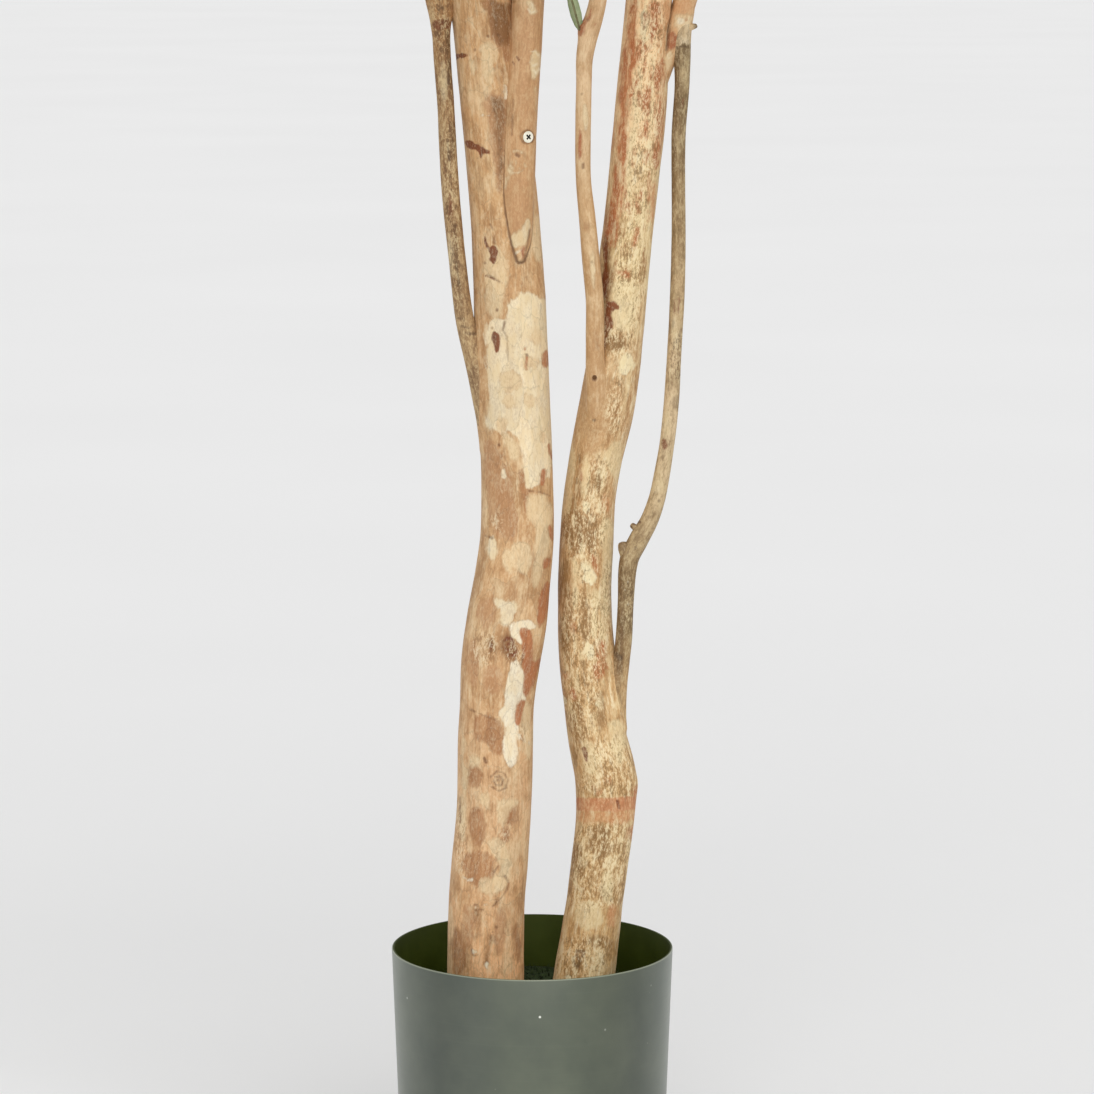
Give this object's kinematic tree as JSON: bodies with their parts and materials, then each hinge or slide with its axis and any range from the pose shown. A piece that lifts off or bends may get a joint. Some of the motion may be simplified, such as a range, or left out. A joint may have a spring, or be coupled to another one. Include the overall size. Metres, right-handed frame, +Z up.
{
  "type": "potted olive tree",
  "caption": "Artificial olive tree: natural-wood trunks with boughs let into them and leafy sprays in drilled holes, standing in a plain tapered round pot under a moss cover.",
  "frame": {"origin": "centre of the pot's underside, on the floor that it stands on", "axes": "+Z up along the pot's axis; -Y towards the front, where the picture was taken from; +X to the right"},
  "size_m": [1.0252, 0.9349, 2.1262],
  "materials": {
    "moulded_plastic": "satin",
    "cast_concrete": "rough",
    "moss": "matt, tangled",
    "smooth_bark": "dry, thin smooth bark",
    "twig_bark": "dry, streaked bark",
    "zinc_plate": "dull zinc plate",
    "rusty_steel": "rusted",
    "leaf": "matt"
  },
  "bodies": {
    "root": {"pot": "moulded_plastic", "ballast": "cast_concrete", "moss": "moss", "trunk_left": "smooth_bark", "trunk_right": "smooth_bark", "limb_left": "smooth_bark", "limb_right": "smooth_bark", "branch_middle": "smooth_bark", "branch_left": "twig_bark", "branch_right": "twig_bark", "screw": "zinc_plate", "nail": "rusty_steel", "spray_01": "leaf", "spray_02": "leaf", "spray_03": "leaf", "spray_04": "leaf", "spray_05": "leaf", "spray_06": "leaf", "spray_07": "leaf", "spray_08": "leaf", "spray_09": "leaf", "spray_10": "leaf", "spray_11": "leaf", "spray_12": "leaf", "spray_13": "leaf", "spray_14": "leaf", "spray_15": "leaf", "spray_16": "leaf", "spray_17": "leaf", "spray_18": "leaf", "spray_19": "leaf", "spray_20": "leaf", "spray_21": "leaf", "spray_22": "leaf", "spray_23": "leaf", "spray_24": "leaf", "spray_25": "leaf", "spray_26": "leaf", "spray_27": "leaf", "spray_28": "leaf", "spray_29": "leaf", "spray_30": "leaf", "spray_31": "leaf", "spray_32": "leaf", "spray_33": "leaf"}
  },
  "joints": []
}
